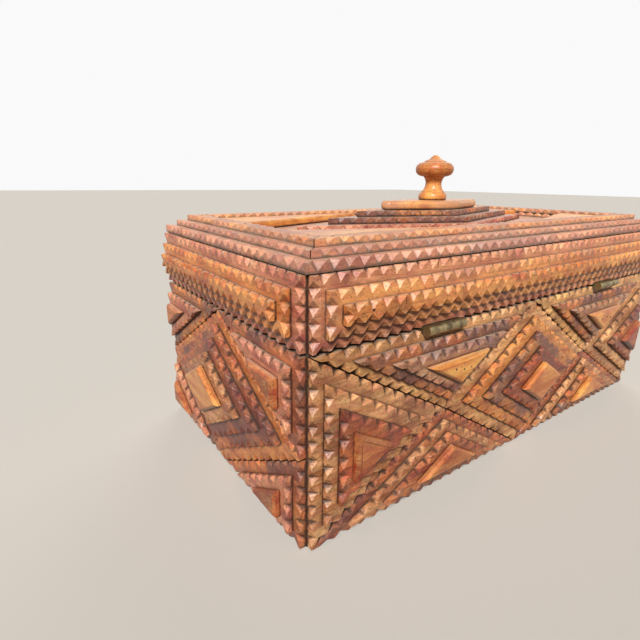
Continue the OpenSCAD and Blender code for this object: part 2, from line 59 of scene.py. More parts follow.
class Wire:
    # a socket in a node tree; sums and products of wires add Math nodes
    def __init__(self, tree, socket=None):
        self.tree = tree
        self.socket = socket

    def node(self, kind, settings={}, sockets={}):
        made = self.tree.nodes.new(kind)
        for key, value in settings.items():
            setattr(made, key, value)
        for key, value in sockets.items():
            for each in value if isinstance(value, list) else [value]:
                if isinstance(each, Wire):
                    self.tree.links.new(each.socket, made.inputs[key])
                else:
                    made.inputs[key].default_value = each
        return Wire(self.tree, next((socket for socket in made.outputs if socket.enabled), None))

    def pick(self, name):
        return Wire(self.tree, self.socket.node.outputs[name])

    def math(self, operation, a, b):
        return self.node("ShaderNodeMath", {"operation": operation}, {0: a, 1: b})

    def vector(self, operation, a, b):
        return self.node("ShaderNodeVectorMath", {"operation": operation}, {0: a, 1: b})

    def scaled(self, vector, factor):
        return self.node("ShaderNodeVectorMath", {"operation": "SCALE"}, {0: vector, "Scale": factor})

    def clamped(self):
        return self.node("ShaderNodeClamp", {}, {"Value": self})

    def blend(self, a, b, factor):
        return self.node("ShaderNodeMix", {"data_type": "RGBA"}, {0: factor, 6: a, 7: b})

    def surface(self, sockets):
        shader = self.node("ShaderNodeBsdfPrincipled", {}, sockets)
        self.node("ShaderNodeOutputMaterial", {}, {"Surface": shader})

    def named(self, name, kind="FLOAT"):
        return self.node("GeometryNodeInputNamedAttribute", {"data_type": kind}, {"Name": name})

    def drawn(self, low, high, seed):
        sockets = {2: low, 3: high, "Seed": seed}
        return self.node("FunctionNodeRandomValue", {"data_type": "FLOAT"}, sockets)

    def __add__(self, other):
        return self.math("ADD", self, other)

    def __sub__(self, other):
        return self.math("SUBTRACT", self, other)

    def __rsub__(self, other):
        return self.math("SUBTRACT", other, self)

    def __mul__(self, other):
        return self.math("MULTIPLY", self, other)


def clearTree(owner):
    # an empty node tree for a material or the world
    owner.use_nodes = True
    owner.node_tree.nodes.clear()
    return Wire(owner.node_tree)


def addObject(name, data):
    made = bpy.data.objects.new(name, data)
    bpy.context.scene.collection.objects.link(made)
    return made


def linear(code):
    # "#rrggbb" as it looks on screen to a linear colour
    parts = [int(code[k:k + 2], 16) / 255 for k in (1, 3, 5)]
    return tuple(((c + 0.055) / 1.055) ** 2.4 if c > 0.04045 else c / 12.92 for c in parts) + (1.0,)


# wood finishes: light and dark grain, stain in patches, rubbed tips
woodLooks = {
    "tan_wood": {"light": "#e6aa74", "dark": "#9d5f33", "stain": "#825038",
                 "worn": "#f3c79f", "rough": 0.46, "mottle": 1.3, "coat": 0.2},
    "orange_wood": {"light": "#e89b5a", "dark": "#ab5b28", "stain": "#954728",
                    "worn": "#f6c696", "rough": 0.42, "mottle": 1.0, "coat": 0.2},
    "rose_wood": {"light": "#e09972", "dark": "#9f583e", "stain": "#8c4a3f",
                  "worn": "#f3c2a8", "rough": 0.42, "mottle": 1.0, "coat": 0.2},
    "red_wood": {"light": "#d07a48", "dark": "#733620", "stain": "#5e3636",
                 "worn": "#dca283", "rough": 0.43, "mottle": 1.2, "coat": 0.2},
    "plum_wood": {"light": "#d8864f", "dark": "#7c4029", "stain": "#553b3c",
                  "worn": "#dcab92", "rough": 0.44, "mottle": 1.2, "coat": 0.2},
    "grey_wood": {"light": "#d19a6e", "dark": "#8c583c", "stain": "#755453",
                  "worn": "#e6bf9e", "rough": 0.48, "mottle": 1.2, "coat": 0.2},
    "honey_wood": {"light": "#efa858", "dark": "#ba6a2a", "stain": "#b05a28",
                   "worn": "#f7d2a6", "rough": 0.38, "mottle": 0.5, "coat": 0.35},
    "plain_wood": {"light": "#b98a59", "dark": "#876038", "stain": "#7f583a",
                   "worn": "#cda67c", "rough": 0.6, "mottle": 0.8, "coat": 0.0},
}
# pieces that are darker or paler than the rest of their wood; the end triangle block is darker by painted
# shade
pieceTone = {
    "end_triangle_block": -1.5, "base_triangle_block": -0.45, "corner_triangle_block": -0.3,
    "recess_blocks": -0.1, "knob": 0.25, "lower_frame": 0.35, "upper_frame": 0.05,
    "diamond_layer_2": -0.7, "diamond_layer_3": -0.15, "diamond_layer_4": -0.85,
    "end_triangle_layer_2": -0.1, "base_triangle_layer_2": -0.5, "corner_triangle_layer_2": 0.3,
    "top_triangle_layer_1": 0.8, "top_triangle_layer_2": 0.25, "end_skirt_layer_1": 0.3,
    "long_skirt_layer_2": 0.65, "long_skirt_layer_3": 0.4,
    "rhombus_layer_1": 0.55, "rhombus_layer_3": 0.3, "rhombus_layer_4": 0.35,
}
# pieces with dust and painted sheen on their edges too
pieceDustAndSheen = {
    "upper_frame": 0.6, "lower_frame": 0.5, "lid_board": 0.35, "long_skirt_layer_2": 0.25, "knob_plaque": 0.6,
}
topDustAndSheen = {"recess_blocks": 0.3, "upper_frame": 0.4}  # pieces with less dust and painted sheen on top than the rest
# pieces with more stain than the rest of their wood
pieceStain = {
    "top_triangle_layer_2": 0.35, "end_triangle_layer_3": 0.3, "corner_triangle_layer_1": 0.2,
    "rhombus_layer_3": 0.4, "rhombus_layer_4": 0.15, "diamond_layer_2": 0.1, "diamond_layer_3": 0.5,
    "lid_rhombus_layer_2": 0.75, "lid_rhombus_layer_3": 0.75,
}
woodGrain = {
    # dark dirt in pores and specks, and painted shade in cuts and corners
    "dirtAndShadeColour": "#2a150d",
    "dustAndSheen": "#f2d6ba",  # dust and painted sheen on what faces up
    "coatRough": 0.34,
    "specular": 0.35,
    "stain": 0.75,  # how much of the wood a full stain covers
    "nookDirtAndShade": 2.2 * mm,  # how far dirt and painted shade reach out of a corner
    "nookSamples": 6,
    "bumpDepth": 0.22 * mm,
    "bumpStrength": 0.6,
    "shift": 900.0,  # mm of grain per step of tone, so that no two pieces match
    "stray": 5.0,  # degrees that the grain may be out of true
    "square": 0.8,  # from this width, in heights, the grain runs sideways
}
# noises: cells per mm along the grain and across it, detail, distortion
woodNoise = {
    "band": (0.009, 0.13, 3.0, 0.8),
    "fibre": (0.05, 1.2, 4.0, 0.3),
    "pore": (0.22, 3.6, 2.0, 0.0),
    "patch": (0.05, 0.05, 3.0, 0.0),
    "blotch": (0.11, 0.28, 4.0, 0.0),
    "speck": (1.1, 1.1, 2.0, 0.0),
    "grit": (0.32, 1.0, 6.0, 0.0),
}
noiseMiddle = 0.5
# marks: where each begins, how the blotches shift that, how sharply it sets in, how much it covers
woodMarks = {
    "pore": {"from": 0.6, "gain": 7.0, "cover": 0.35},
    "speck": {"from": 0.6, "gain": 9.0, "cover": 0.6},
    "blotch": {"from": 0.54, "gain": 5.0, "cover": 0.35},
    "scuff": {"from": 0.52, "gain": 6.0, "cover": 0.4},
    "speckless": {"from": 0.47, "gain": -9.0},
    # the cut and nook marks darken valleys and corners with dirt and painted shade
    "cut": {"from": 0.32, "blotch": -0.6, "gain": -4.0, "cover": 0.78},
    "nookDirtAndShade": {"from": 0.7, "blotch": -0.3, "gain": -3.0, "cover": 0.85},
    "rubbed": {"from": 0.86, "blotch": 0.7, "gain": 6.0, "cover": 0.55},
}
# sums: what each noise, mark or attribute adds
woodSums = {
    "dark": {"band": 2.4, "fibre": 1.8, "base": 0.45},
    "stain": {"patch": 5.0, "stained": 1.0, "base": 0.25},
    "shade": {"tone": 0.3, "grit": 1.0, "blotch": 0.6, "fibre": 0.6, "facetToneAndShade": 0.34, "base": 0.79},
    "hue": {"blotch": 0.06, "tone": 0.012, "base": 0.494},
    "dustAndSheen": {"patch": 0.7, "fibre": 0.6, "base": -0.36},
    "height": {"fibre": 0.7, "blotch": 0.5, "grit": 0.6, "pore": -0.4, "speck": -0.6, "base": 0.0},
    "rough": {"fibre": 0.25, "cut": 0.25, "blotch": 0.2, "base": -0.22},
}


def woodFinish(slot, look):
    made = bpy.data.materials.new(slot)
    wire = clearTree(made)

    def attribute(name, output):
        return wire.node("ShaderNodeAttribute", {"attribute_name": name}).pick(output)

    values = {name: attribute(name, "Fac") for name in ("tone", "stained", "crest", "facetToneAndShade", "dustAndSheen")}
    grain, outward = attribute("grainDir", "Vector"), attribute("outward", "Vector")
    # each piece has the noise of a place of its own, so that no stain runs on into the next piece
    place = wire.scaled(wire.node("ShaderNodeTexCoord").pick("Object"), 1 / mm)
    u = wire.vector("DOT_PRODUCT", place, grain) + values["tone"] * woodGrain["shift"]
    v = wire.vector("DOT_PRODUCT", place, wire.vector("CROSS_PRODUCT", outward, grain))
    w = wire.vector("DOT_PRODUCT", place, outward)

    def noise(length, width, detail, distortion):
        cells = wire.node("ShaderNodeCombineXYZ", {}, {0: u * length, 1: v * width, 2: w * width})
        sockets = {"Vector": cells, "Scale": 1.0, "Detail": detail, "Distortion": distortion}
        return wire.node("ShaderNodeTexNoise", {}, sockets)

    noises = {name: noise(*shape) for name, shape in woodNoise.items()}
    for name in ("band", "fibre", "patch", "blotch", "grit"):
        values[name] = noises[name] - noiseMiddle

    def mark(name, value):
        rule = woodMarks[name]
        value = value - rule["from"]
        if "blotch" in rule:
            value = value + values["blotch"] * rule["blotch"]
        return (value * rule["gain"]).clamped()

    def covering(name, value):
        return value * woodMarks[name]["cover"]

    def total(name, parts, base=0.0):
        # the parts times their weights; grit counts by the wood's own mottle
        weights = dict(woodSums[name])
        base += weights.pop("base")
        if "grit" in weights:
            weights["grit"] *= look["mottle"]
        terms = [parts[key] * weight for key, weight in weights.items()]
        return sum(terms[1:], terms[0]) + base

    pores, specks = mark("pore", noises["pore"]), mark("speck", noises["speck"])
    scuff = mark("scuff", noises["blotch"]) * mark("speckless", noises["speck"])
    # the valleys of the cuts are darkened with dirt and painted shade
    cut = mark("cut", values["crest"])
    # corners that are closed in are darkened with dirt and painted shade
    openness = wire.node("ShaderNodeAmbientOcclusion", {"samples": woodGrain["nookSamples"]},
                         {"Distance": woodGrain["nookDirtAndShade"]}).pick("AO")
    nookDirtAndShade = mark("nookDirtAndShade", openness)
    rubbed = mark("rubbed", values["crest"]) * (1.0 - nookDirtAndShade)
    soilAndShade = covering("cut", cut) + covering("nookDirtAndShade", nookDirtAndShade) + covering("speck", specks)
    dirtAndShadeColour, stain, worn = linear(woodGrain["dirtAndShadeColour"]), linear(look["stain"]), linear(look["worn"])

    colour = wire.blend(linear(look["light"]), linear(look["dark"]), total("dark", values).clamped())
    colour = wire.blend(colour, stain, total("stain", values).clamped() * woodGrain["stain"])
    colour = wire.blend(colour, stain, covering("blotch", mark("blotch", noises["blotch"])))
    colour = wire.blend(colour, dirtAndShadeColour, covering("pore", pores))
    sockets = {"Color": colour, "Value": total("shade", values), "Hue": total("hue", values)}
    colour = wire.node("ShaderNodeHueSaturation", {}, sockets)
    colour = wire.blend(colour, worn, covering("scuff", scuff * (1.0 - cut)))
    # dirt and painted shade blended over the wood
    colour = wire.blend(colour, dirtAndShadeColour, soilAndShade.clamped())
    colour = wire.blend(colour, worn, covering("rubbed", rubbed))
    # what faces up is paled with dust and painted sheen
    dustAndSheenCover = (values["dustAndSheen"] * total("dustAndSheen", noises)).clamped()
    colour = wire.blend(colour, linear(woodGrain["dustAndSheen"]), dustAndSheenCover)
    height = total("height", {**noises, "pore": pores, "speck": specks})
    sockets = {"Strength": woodGrain["bumpStrength"], "Distance": woodGrain["bumpDepth"], "Height": height}
    wire.surface({
        "Base Color": colour,
        "Roughness": total("rough", {**noises, "cut": cut}, look["rough"]).clamped(),
        "Normal": wire.node("ShaderNodeBump", {}, sockets),
        "Coat Weight": look["coat"],
        "Coat Roughness": woodGrain["coatRough"],
        "Specular IOR Level": woodGrain["specular"],
    })
    return made


metalLooks = {
    "aged_brass": {"clean": "#ad9a70", "dull": "#5c4d38", "rough": 0.4},
    "dull_steel": {"clean": "#5f554d", "dull": "#2b211b", "rough": 0.55},
}
metalGrain = {
    "tarnish": (260.0, 4.0),  # cells per metre, detail
    "scratch": (1900.0, 2.0),
    "dullFrom": 0.4,
    "dullGain": 3.5,
    "dullMetal": 0.35,  # what tarnish takes from the metal, then what it adds to the roughness
    "dullRough": 0.22,
    "scratchRough": 0.1,
    "bumpDepth": 0.05 * mm,
    "bumpStrength": 0.3,
}


def metalFinish(slot, look):
    made = bpy.data.materials.new(slot)
    wire = clearTree(made)
    place = wire.node("ShaderNodeTexCoord").pick("Object")

    def noise(scale, detail):
        return wire.node("ShaderNodeTexNoise", {}, {"Vector": place, "Scale": scale, "Detail": detail})

    tarnish, scratch = noise(*metalGrain["tarnish"]), noise(*metalGrain["scratch"])
    dull = ((tarnish - metalGrain["dullFrom"]) * metalGrain["dullGain"]).clamped()
    rough = dull * metalGrain["dullRough"] + scratch * metalGrain["scratchRough"]
    sockets = {"Strength": metalGrain["bumpStrength"], "Distance": metalGrain["bumpDepth"], "Height": scratch}
    wire.surface({
        "Base Color": wire.blend(linear(look["clean"]), linear(look["dull"]), dull),
        "Metallic": 1.0 - dull * metalGrain["dullMetal"],
        "Roughness": rough + (look["rough"] - metalGrain["scratchRough"]),
        "Normal": wire.node("ShaderNodeBump", {}, sockets),
    })
    return made


finishes = {slot: woodFinish(slot, look) for slot, look in woodLooks.items()}
finishes.update({slot: metalFinish(slot, look) for slot, look in metalLooks.items()})
print("finishes made:", len(finishes))


def weldedCopy(node):
    mesh = bmesh.new()
    mesh.from_mesh(nodes[node].data)
    bmesh.ops.remove_doubles(mesh, verts=mesh.verts, dist=samePoint)
    return mesh


def solidsOf(mesh):
    # the separate pieces of wood in a welded mesh, each as a list of its points
    seen, found = set(), []
    for start in mesh.verts:
        if start in seen:
            continue
        seen.add(start)
        waiting, solid = [start], []
        while waiting:
            point = waiting.pop()
            solid.append(point)
            for edge in point.link_edges:
                other = edge.other_vert(point)
                if other not in seen:
                    seen.add(other)
                    waiting.append(other)
        found.append(solid)

    def middle(solid):
        return [round(sum(point.co[k] for point in solid) / len(solid), 3) for k in range(3)]

    return sorted(found, key=middle)


def reach(points, way):
    # nearest and furthest of the points in a direction
    steps = [point.dot(way) for point in points]
    return min(steps), max(steps)


def spanOf(points, way):
    low, high = reach(points, way)
    return high - low


def plateAxes(points):
    # outward, sideways and up for a flat piece, as seen from outside
    size = [max(p[k] for p in points) - min(p[k] for p in points) for k in range(3)]
    axis = size.index(min(size))
    sign = 1 if axis == 2 or sum(p[axis] for p in points) > 0 else -1
    outward = Vector([sign if k == axis else 0 for k in range(3)])
    sideways = (Vector((0, sign, 0)), Vector((-sign, 0, 0)), Vector((1, 0, 0)))[axis]
    return outward, sideways, outward.cross(sideways)


def footHull(points, outward, sideways, up):
    # outline of a piece's foot, in the piece's own plane
    foot = reach(points, outward)[0]
    low = [Vector((p.dot(sideways), p.dot(up))) for p in points if p.dot(outward) - foot < touch]
    return [low[k] for k in convex_hull_2d(low)]


def grainOf(points, outward, sideways, up, chance):
    # grain runs along the longer side, never quite true
    isWide = spanOf(points, sideways) >= spanOf(points, up) * woodGrain["square"]
    stray = chance.uniform(-woodGrain["stray"], woodGrain["stray"])
    return Matrix.Rotation(math.radians(stray), 3, outward) @ (sideways if isWide else up)


def setAttributes(mesh, columns):
    for name, values in columns.items():
        isVector = isinstance(values[0], Vector)
        layer = mesh.attributes.new(name, "FLOAT_VECTOR" if isVector else "FLOAT", "POINT")
        flat = [part for value in values for part in value] if isVector else values
        layer.data.foreach_set("vector" if isVector else "value", flat)


def baked(piece, finish=None):
    # a plain mesh in place of the modifiers
    graph = bpy.context.evaluated_depsgraph_get()
    shaped = piece.evaluated_get(graph)
    mesh = bpy.data.meshes.new_from_object(shaped, preserve_all_data_layers=True, depsgraph=graph)
    piece.modifiers.clear()
    piece.data = mesh
    mesh.name = piece.name
    if finish:
        mesh.materials.clear()
        mesh.materials.append(finish)
    return piece


facetLook = {
    "under": 1.4,  # how much painted shade darkens what faces down
    "level": 0.85,  # dust and painted sheen begin at this slope, and are full this much further on
    "levelRange": 0.15,
}


def markFacets(mesh, name):
    # every cut has its own random tone, what faces down is darkened by painted shade, and dust with painted
    # sheen lies on what faces up
    chance = random.Random(name)
    edgeDustAndSheen, faceDustAndSheen = pieceDustAndSheen.get(name, 0.0), topDustAndSheen.get(name, 1.0)
    columns = {"facetToneAndShade": [], "dustAndSheen": []}
    for face in mesh.polygons:
        share = (face.normal.z - facetLook["level"]) / facetLook["levelRange"]
        columns["facetToneAndShade"].append(chance.random() + facetLook["under"] * min(face.normal.z, 0.0))
        columns["dustAndSheen"].append(faceDustAndSheen * share if share > 0 else edgeDustAndSheen)
    for key, column in columns.items():
        mesh.attributes.new(key, "FLOAT", "FACE").data.foreach_set("value", column)


def settle(piece, node):
    markFacets(piece.data, node)
    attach(piece, bodyOf[node])
    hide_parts(node)


easeAngle = 25.0  # edges that turn less stay as they are


def easeEdges(piece, settings):
    eased = piece.modifiers.new("eased", "BEVEL")
    eased.limit_method = "ANGLE"
    eased.angle_limit = math.radians(easeAngle)
    for key, value in settings.items():
        setattr(eased, key, value)


def newGroup(name, inputs):
    # a Geometry Nodes tree with named inputs
    tree = bpy.data.node_groups.new(name, "GeometryNodeTree")
    for title, kind in inputs.items():
        tree.interface.new_socket(title, in_out="INPUT", socket_type="NodeSocket" + kind)
    tree.interface.new_socket("Geometry", in_out="OUTPUT", socket_type="NodeSocketGeometry")
    return tree


def endGroup(wire, geometry, finish):
    whole = wire.node("GeometryNodeRealizeInstances", {}, {0: geometry})
    whole = wire.node("GeometryNodeSetMaterial", {}, {"Geometry": whole, "Material": finish})
    wire.node("NodeGroupOutput", {}, {0: whole})


def runGroup(piece, tree, values):
    # the tree as a modifier of the piece, with its inputs set
    modifier = piece.modifiers.new(tree.name, "NODES")
    modifier.node_group = tree
    sockets = {item.name: item.identifier for item in tree.interface.items_tree if item.in_out == "INPUT"}
    for title, value in values.items():
        modifier[sockets[title]] = value


# notched layers: the cuts stand where the frame has them, with a carver's small errors
notchLook = {
    "depth": 3.3 * mm,
    "lip": 0.5 * mm,
    "shelf": 1.05,  # inner edge of the carved border, in notch depths
    "wander": 0.45 * mm,
    "corner": 9 * mm,  # cuts stray less near a corner
    "cornerGap": 0.1 * mm,  # marks closer to a corner are the corner itself
    "cornerRoom": 0.3 * mm,  # how far a corner itself may be rubbed in
    "deepest": 0.98,  # of the carved border, and what a shallow cut may lack of that
    "shallow": 0.14,
    "chip": 0.55 * mm,
    "whole": 0.94,  # share of the tips that aren't broken
    "rub": 0.14,  # share of a chip that those lose
    "lossShare": 0.5,  # most of its room that a tip may lose
    "sideShare": 0.46,  # most of the way to another edge that a cut may take, then to a mitre
    "mitreShare": 0.85,
    "closing": 0.05,  # edges that close in more slowly than this never meet
    "frontDark": 0.62,  # how much dirt and painted shade a cut still has at the front face
    "faceCrest": 0.52,
    "edge": 5.0,  # per cent of the neighbouring edges that is rubbed off
    "valleyDirtAndShade": {"box": 0.16, "lid": 0.02},  # dirt and painted shade in the cuts
    "worn": {"lid_board": 0.8, "lower_frame": 0.72, "upper_frame": 0.72},  # edges that hands have rubbed down
    "seedStep": 17,
}


def notchTree():
    measures = ("Thickness", "Depth", "Lip", "Shelf", "Wander", "Shallow", "Chip", "ValleyDirtAndShade")
    inputs = {"Geometry": "Geometry", **dict.fromkeys(measures, "Float"), "Seed": "Int", "Finish": "Material"}
    tree = newGroup("notchedLayer", inputs)
    wire = Wire(tree)
    given = wire.node("NodeGroupInput")
    thickness, valleyDirtAndShade = given.pick("Thickness"), given.pick("ValleyDirtAndShade")

    def chance(low, high, offset):
        return wire.drawn(low, high, given.pick("Seed") + offset)

    def store(geometry, name, value, selection=True):
        settings = {"data_type": "FLOAT", "domain": "POINT"}
        sockets = {"Geometry": geometry, "Selection": selection, "Name": name, "Value": value}
        return wire.node("GeometryNodeStoreNamedAttribute", settings, sockets)

    def move(geometry, offset, selection=True):
        sockets = {"Geometry": geometry, "Selection": selection, "Offset": offset}
        return wire.node("GeometryNodeSetPosition", {}, sockets)

    def raised(geometry, selection=True):
        sockets = {"Mesh": geometry, "Selection": selection, "Offset Scale": 0.0, "Individual": False}
        return wire.node("GeometryNodeExtrudeMesh", {"mode": "FACES"}, sockets)

    valley, room = wire.named("valley"), wire.named("room")
    inward, outward = wire.named("inward", "FLOAT_VECTOR"), wire.named("outward", "FLOAT_VECTOR")
    # each cut a little off its mark, a few tips rubbed or broken off
    broken = wire.math("GREATER_THAN", chance(0.0, 1.0, 1), notchLook["whole"]) + notchLook["rub"]
    worn = (1.0 - valley) * broken * chance(0.0, 1.0, 2) * given.pick("Chip")
    drift = wire.scaled(wire.named("along", "FLOAT_VECTOR"), chance(-1.0, 1.0, 3) * given.pick("Wander"))
    share = notchLook["deepest"] - chance(0.0, 1.0, 4) * given.pick("Shallow")
    foot = store(given.pick("Geometry"), "share", share)
    foot = store(foot, "lost", wire.math("MINIMUM", worn, room * notchLook["lossShare"]))
    # the foot is darkest, with dirt and painted shade where the layer meets the one below
    foot = store(foot, "crest", 0.0)
    foot = move(foot, drift)
    lost = wire.named("lost")
    inset = wire.math("MINIMUM", room, given.pick("Depth") * given.pick("Shelf"))
    cutIn = inset * wire.named("share") * valley
    # first ring: up to the tips, and to the lip in the valleys
    first = raised(foot)
    rim = thickness + (given.pick("Lip") - thickness) * valley
    rise = wire.vector("ADD", wire.scaled(outward, rim), wire.scaled(inward, lost))
    wall = move(first, rise, first.pick("Top"))
    wall = store(wall, "crest", 1.0 - valley - valleyDirtAndShade, first.pick("Top"))
    # second ring: the valleys slope in to the front face
    second = raised(wall, first.pick("Top"))
    slope = wire.vector("ADD", wire.scaled(outward, thickness - rim), wire.scaled(inward, cutIn))
    front = move(second, slope, second.pick("Top"))
    front = store(front, "crest", 1.0 - valley * notchLook["frontDark"] - valleyDirtAndShade, second.pick("Top"))
    # third ring: where the carved border ends
    third = raised(front, second.pick("Top"))
    face = move(third, wire.scaled(inward, inset - cutIn - lost), third.pick("Top"))
    face = store(face, "crest", notchLook["faceCrest"], third.pick("Top"))
    back = wire.node("GeometryNodeFlipFaces", {}, {0: foot})
    whole = wire.node("GeometryNodeJoinGeometry", {}, {0: [face, back]})
    whole = wire.node("GeometryNodeMergeByDistance", {}, {"Geometry": whole, "Distance": touch / 2})
    endGroup(wire, whole, given.pick("Finish"))
    return tree


def edgeMarks(points, foot, thickness, outward, start, end, flat):
    # tips and valleys that the frame's solid has on one edge, as (distance, is valley)
    way = (end - start).normalized()
    marks = {}
    for point in points:
        gap = flat(point) - start
        if abs(gap.x * way.y - gap.y * way.x) > touch:
            continue
        height = point.dot(outward) - foot
        if height > touch:
            marks[round(gap.dot(way), 5)] = height < thickness - touch
    first, last = notchLook["cornerGap"], (end - start).length - notchLook["cornerGap"]
    return [(t, marks[t]) for t in sorted(marks) if first < t < last]


def roomAt(corners, edge, t):
    # how far a point on an edge may move in before it meets the cut from another edge
    count = len(corners)
    start, end = corners[edge], corners[(edge + 1) % count]
    way = (end - start).normalized()
    normal = Vector((-way.y, way.x))
    here = start + way * t
    room = math.inf
    for k in range(count):
        a, b = corners[k], corners[(k + 1) % count]
        side = (b - a).normalized()
        facing = Vector((-side.y, side.x))
        closing = -normal.dot(facing)
        if k != edge and closing > notchLook["closing"]:
            room = min(room, notchLook["sideShare"] * (here - a).dot(facing) / closing)
    mitres = ((start, corners[edge - 1], way, t),
              (end, corners[(edge + 2) % count], -way, (end - start).length - t))
    for corner, other, along, gap in mitres:
        half = (other - corner).angle(along) / 2
        room = min(room, notchLook["mitreShare"] * gap * math.tan(half))
    return room


# openings in the first layers where the hinge leaves pass
openLook = {
    "side": 0.2 * mm,
    "height": 1.3 * mm,
    "near": 2 * mm,  # edges further from the seam have none
    "land": 0.4 * mm,
    "leaves": {"top_triangle_layer_1": "hinge_lower_leaves", "long_skirt_layer_1": "hinge_upper_leaves"},
}


def openSpans(node, start, end):
    # stretches of an edge that the leaves need open, as distances along it and depth
    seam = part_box("back_wall")[1].z if bodyOf[node] == "box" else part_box("lid_back_rail")[0].z
    far = max(abs(start.z - seam), abs(end.z - seam))
    if node not in openLook["leaves"] or start.y < 0 or far > openLook["near"]:
        return []
    leaves = weldedCopy(openLook["leaves"][node])
    sign = 1 if end.x > start.x else -1
    spans = []
    for solid in solidsOf(leaves):
        low, high = sorted(sign * (pick(vert.co.x for vert in solid) - start.x) for pick in (min, max))
        if 0 < low and high < abs(end.x - start.x):
            spans.append((low - openLook["side"], high + openLook["side"], openLook["height"] - far))
    leaves.free()
    return spans


def cornersOf(hull):
    # the true corners of an outline, anticlockwise from the lower left
    corners = []
    for k, corner in enumerate(hull):
        before, after = hull[k - 1], hull[(k + 1) % len(hull)]
        span = after - before
        if abs((corner - before).cross(span)) > touch * span.length:
            corners.append(corner)
    if sum(corners[k - 1].cross(corners[k]) for k in range(len(corners))) < 0:
        corners.reverse()
    first = corners.index(min(corners, key=lambda c: (round(c.x + c.y, 4), round(c.x, 4))))
    return corners[first:] + corners[:first]


def notchedBase(node):
    # each layer's foot as one face, with a point for every tip and valley on its edges
    mesh = weldedCopy(node)
    places, faces, columns = [], [], {}
    chance = random.Random(node)
    thickness = 0
    for solid in solidsOf(mesh):
        points = [vert.co.copy() for vert in solid]
        outward, sideways, up = plateAxes(points)
        foot = reach(points, outward)[0]
        thickness = spanOf(points, outward)
        corners = cornersOf(footHull(points, outward, sideways, up))
        tone = chance.random() + pieceTone.get(node, 0.0)
        grain = grainOf(points, outward, sideways, up, chance)
        face = []

        def flat(point):
            return Vector((point.dot(sideways), point.dot(up)))

        def inSpace(vector):
            return sideways * vector.x + up * vector.y

        def addPoint(place, valley, room, inward, along):
            face.append(len(places))
            places.append(outward * foot + inSpace(place))
            row = {"valley": valley, "room": room, "tone": tone, "stained": pieceStain.get(node, 0.0),
                   "inward": inSpace(inward), "along": inSpace(along), "outward": outward, "grainDir": grain}
            for key, value in row.items():
                columns.setdefault(key, []).append(value)

        for k, corner in enumerate(corners):
            after = corners[(k + 1) % len(corners)]
            length = (after - corner).length
            way = (after - corner).normalized()
            back = (corners[k - 1] - corner).normalized()
            normal = Vector((-way.y, way.x))
            addPoint(corner, 0.0, notchLook["cornerRoom"], (way + back).normalized(), Vector((0, 0)))
            spans = openSpans(node, *(outward * foot + inSpace(place) for place in (corner, after)))
            marks = []  # distance, is valley, depth of an opening, how free the cut is to stray
            for t, isValley in edgeMarks(points, foot, thickness, outward, corner, after, flat):
                if not any(low - openLook["land"] < t < high + openLook["land"] for low, high, deep in spans):
                    marks.append((t, isValley, 0.0, min(1.0, min(t, length - t) / notchLook["corner"])))
            for low, high, deep in spans:
                marks += [(low, False, 0.0, 0.0), (low, False, deep, 0.0),
                          (high, False, deep, 0.0), (high, False, 0.0, 0.0)]
            for t, isValley, deep, free in sorted(marks, key=lambda mark: mark[0]):
                place = corner + way * t + normal * deep
                addPoint(place, float(isValley), roomAt(corners, k, t), normal, way * free)
        faces.append(face)
    mesh.free()
    made = bpy.data.meshes.new(node + "_base")
    made.from_pydata(places, [], faces)
    setAttributes(made, columns)
    return made, thickness


layerTree = notchTree()


def notchedLayer(node, seed):
    base, thickness = notchedBase(node)
    piece = addObject("carved_" + node, base)
    values = {name.capitalize(): notchLook[name] for name in ("lip", "shelf", "wander", "shallow", "chip")}
    values["Thickness"] = thickness
    values["Depth"] = notchLook["depth"] * notchLook["worn"].get(node, 1.0)
    values["ValleyDirtAndShade"] = notchLook["valleyDirtAndShade"][bodyOf[node]]
    values["Seed"] = seed
    values["Finish"] = finishes[slotOf[node]]
    runGroup(piece, layerTree, values)
    easeEdges(piece, {"offset_type": "PERCENT", "width_pct": notchLook["edge"], "segments": 1})
    settle(baked(piece), node)


notched = [node for node in nodes if "layer" in node or node in ("lid_board", "lower_frame", "upper_frame")]
for seed, node in enumerate(sorted(notched)):
    notchedLayer(node, seed * notchLook["seedStep"])
print("notched layers carved:", len(notched))


# smooth pieces: the frame's own solids with eased edges
smoothLook = {
    "block": 0.35 * mm,
    "carcass": 0.5 * mm,
    "metal": 0.12 * mm,
    "steps": 2,
    "flatAngle": 1.0,
    "rounded": {"recess_blocks": 1.6 * mm, "knob_plaque": 2.2 * mm},
    "roundSteps": 5,
    "cornerTurn": 10.0,  # a lesser turn in an outline is part of a curve
    "blunt": 10 * mm,  # the plaque's side corners
    "bluntSteps": 8,
    "bluntEdge": 1 * mm,  # they are taller than this
    "bluntProfile": 0.5,  # part of a circle
    "scored": "end_triangle_block",
    "score": [(1.0 * mm, 0), (0.3 * mm, -0.13 * mm), (0.3 * mm, 0), (0.3 * mm, 0.13 * mm)],
    "scoreReach": 0.2 * mm,  # what lies this close under the front face is in the scored line
    "scoreCrest": 0.1,
    "gapShadeCrest": 0.05,  # the carcass's outside, seen between the layers, darkened as painted shade
    "crest": 0.55,
}
blocks = [node for node in nodes if node.endswith("_block") or node in ("recess_blocks", "knob_plaque")]
carcass = [node for node in nodes if node.endswith(("_wall", "_rail")) or node == "bottom_board"]
leaves = ["hinge_lower_leaves", "hinge_upper_leaves"]


def scoreBorder(mesh):
    # a line pressed in along the edge of the front face
    for solid in solidsOf(mesh):
        outward = plateAxes([vert.co for vert in solid])[0]
        faces = {face for vert in solid for face in vert.link_faces}
        front = max(faces, key=lambda face: face.calc_center_median().dot(outward))
        for width, depth in smoothLook["score"]:
            bmesh.ops.inset_individual(mesh, faces=[front], thickness=width, depth=depth)


